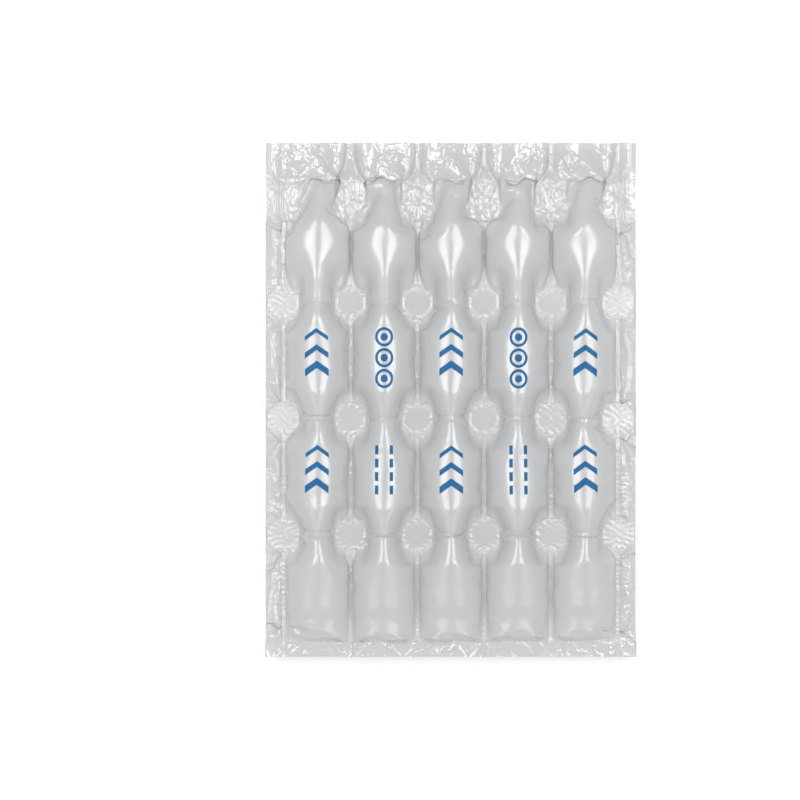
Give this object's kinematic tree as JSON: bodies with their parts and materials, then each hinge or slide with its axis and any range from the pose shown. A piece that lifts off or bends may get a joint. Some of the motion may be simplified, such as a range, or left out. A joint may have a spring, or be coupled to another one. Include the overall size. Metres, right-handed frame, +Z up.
{
  "type": "inflated air column cushion sheet",
  "caption": "Flat sheet of parallel air-filled film columns with weld spots, cut margins and a slit fill channel, for wrapping goods.",
  "frame": {"origin": "centre of the sheet's outline, on the surface that it lies on", "axes": "+Y along the columns towards the slit fill channel, +X across the columns, +Z up from the surface that it lies on"},
  "size_m": [0.277, 0.385, 0.0432],
  "materials": {
    "film": "clear blown film, glossy, creased",
    "ink": "blue flexographic ink on film"
  },
  "bodies": {
    "root": {"lower_film": "film", "upper_film": "film", "printed_marks": "ink"}
  },
  "joints": []
}
